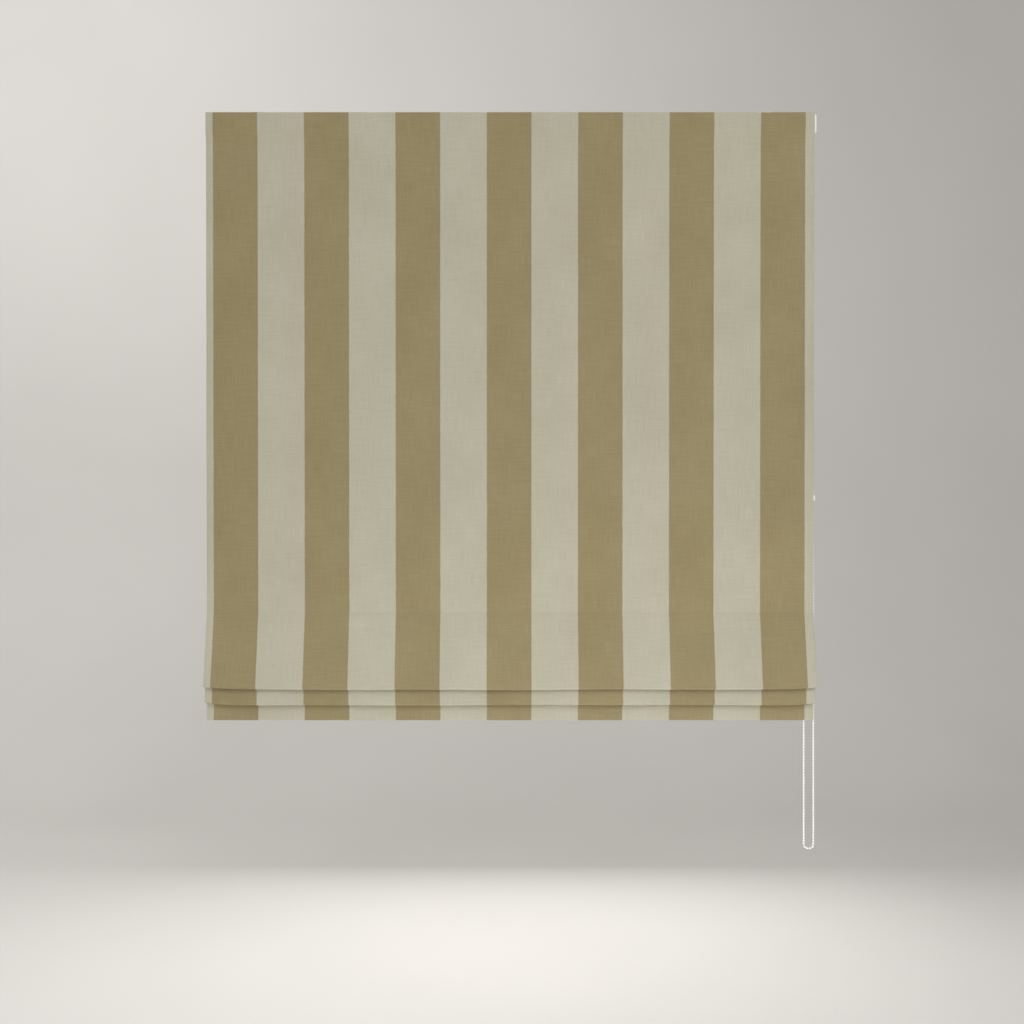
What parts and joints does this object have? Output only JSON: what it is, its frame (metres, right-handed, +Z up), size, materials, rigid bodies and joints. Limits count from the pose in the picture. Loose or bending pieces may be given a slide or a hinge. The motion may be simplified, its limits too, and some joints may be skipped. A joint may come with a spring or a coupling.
{
  "type": "roman blind",
  "caption": "Made-to-measure striped roman blind, part raised: lined cloth on battens, cord-drum headrail and a bead-chain drive.",
  "frame": {"origin": "middle of the fixing face of the three brackets, on the line of their screw holes", "axes": "+X along the rail, -Y towards the room, +Z up"},
  "size_m": [1.2062, 0.0643, 1.459],
  "materials": {
    "white_plastic": "moulded",
    "fibreglass": "pultruded rod",
    "clear_plastic": "moulded, translucent",
    "woven_tape": "woven tape",
    "chain_plastic": "moulded beads",
    "mill_aluminium": "mill finish",
    "zinc_steel": "zinc plated",
    "nylon": "moulded nylon",
    "lift_cord": "braided cord",
    "face_cloth": "woven stripe, tan and cream",
    "white_enamel": "powder coated aluminium",
    "lining_cloth": "plain woven lining"
  },
  "bodies": {
    "rail": {"bead_chain": "chain_plastic", "bracket_1": "zinc_steel", "bracket_2": "zinc_steel", "bracket_3": "zinc_steel", "bracket_rivets": "zinc_steel", "chain_connector": "chain_plastic", "cover_screws": "zinc_steel", "drive_cover": "white_plastic", "drive_housing": "white_plastic", "drum_cradles": "nylon", "end_cap": "white_plastic", "face_cloth": "face_cloth", "headrail": "white_enamel", "hook_tape": "woven_tape", "lift_cord_1": "lift_cord", "lift_cord_2": "lift_cord", "lift_cord_3": "lift_cord", "lift_cord_4": "lift_cord", "lining": "lining_cloth", "loop_tape": "woven_tape", "brake_spring": "zinc_steel", "chain_on_wheel": "chain_plastic", "chain_wheel": "nylon", "cord_drum_1": "nylon", "cord_drum_2": "nylon", "cord_drum_3": "nylon", "cord_drum_4": "nylon", "cord_windings": "lift_cord", "drive_shaft": "zinc_steel"},
    "batten_row_1": {"batten_1": "fibreglass", "batten_pocket_1": "woven_tape", "batten_caps_1": "clear_plastic", "cord_guides_1": "clear_plastic"},
    "batten_row_2": {"batten_2": "fibreglass", "batten_pocket_2": "woven_tape", "batten_caps_2": "clear_plastic", "cord_guides_2": "clear_plastic"},
    "batten_row_3": {"batten_3": "fibreglass", "batten_pocket_3": "woven_tape", "batten_caps_3": "clear_plastic", "cord_guides_3": "clear_plastic"},
    "batten_row_4": {"batten_4": "fibreglass", "batten_pocket_4": "woven_tape", "batten_caps_4": "clear_plastic", "cord_guides_4": "clear_plastic"},
    "batten_row_5": {"batten_5": "fibreglass", "batten_pocket_5": "woven_tape", "batten_caps_5": "clear_plastic", "cord_guides_5": "clear_plastic"},
    "batten_row_6": {"batten_6": "fibreglass", "batten_pocket_6": "woven_tape", "batten_caps_6": "clear_plastic", "cord_guides_6": "clear_plastic", "cord_toggles": "clear_plastic", "bottom_bar": "mill_aluminium", "bar_caps": "white_plastic"},
    "lever_1": {"bracket_lever_1": "white_plastic"},
    "lever_2": {"bracket_lever_2": "white_plastic"},
    "lever_3": {"bracket_lever_3": "white_plastic"}
  },
  "joints": [
    {"name": "blind_lift", "type": "slide", "parent": "rail", "child": "batten_row_1", "axis": [0, 0, 1], "range_m": [0, 0.136], "deforming": ["face_cloth", "lining", "lift_cord_1", "lift_cord_2", "lift_cord_3", "lift_cord_4"]},
    {"name": "batten_2_lift", "type": "slide", "parent": "batten_row_1", "child": "batten_row_2", "axis": [0, 0, 1], "range_m": [0, 0.236]},
    {"name": "batten_3_lift", "type": "slide", "parent": "batten_row_2", "child": "batten_row_3", "axis": [0, 0, 1], "range_m": [0, 0.236]},
    {"name": "batten_4_lift", "type": "slide", "parent": "batten_row_3", "child": "batten_row_4", "axis": [0, 0, 1], "range_m": [0, 0.236]},
    {"name": "fold_lowering", "type": "slide", "parent": "batten_row_4", "child": "batten_row_5", "axis": [0, 0, 1], "range_m": [-0.232, 0]},
    {"name": "lower_fold_lowering", "type": "slide", "parent": "batten_row_5", "child": "batten_row_6", "axis": [0, 0, 1], "range_m": [-0.232, 0]},
    {"name": "lever_1_turn", "type": "hinge", "parent": "rail", "child": "lever_1", "pos_m": [-0.5, 0.021, -0.0056], "axis": [0, 0, 1], "range_deg": [0, 100]},
    {"name": "lever_2_turn", "type": "hinge", "parent": "rail", "child": "lever_2", "pos_m": [0, 0.021, -0.0056], "axis": [0, 0, 1], "range_deg": [0, 100]},
    {"name": "lever_3_turn", "type": "hinge", "parent": "rail", "child": "lever_3", "pos_m": [0.5, 0.021, -0.0056], "axis": [0, 0, 1], "range_deg": [0, 100]}
  ],
  "couplings": [
    {"joint": "batten_2_lift", "follows": "blind_lift", "ratio": 1.7353},
    {"joint": "batten_3_lift", "follows": "blind_lift", "ratio": 1.7353},
    {"joint": "batten_4_lift", "follows": "blind_lift", "ratio": 1.7353},
    {"joint": "lower_fold_lowering", "follows": "fold_lowering", "ratio": 1}
  ]
}
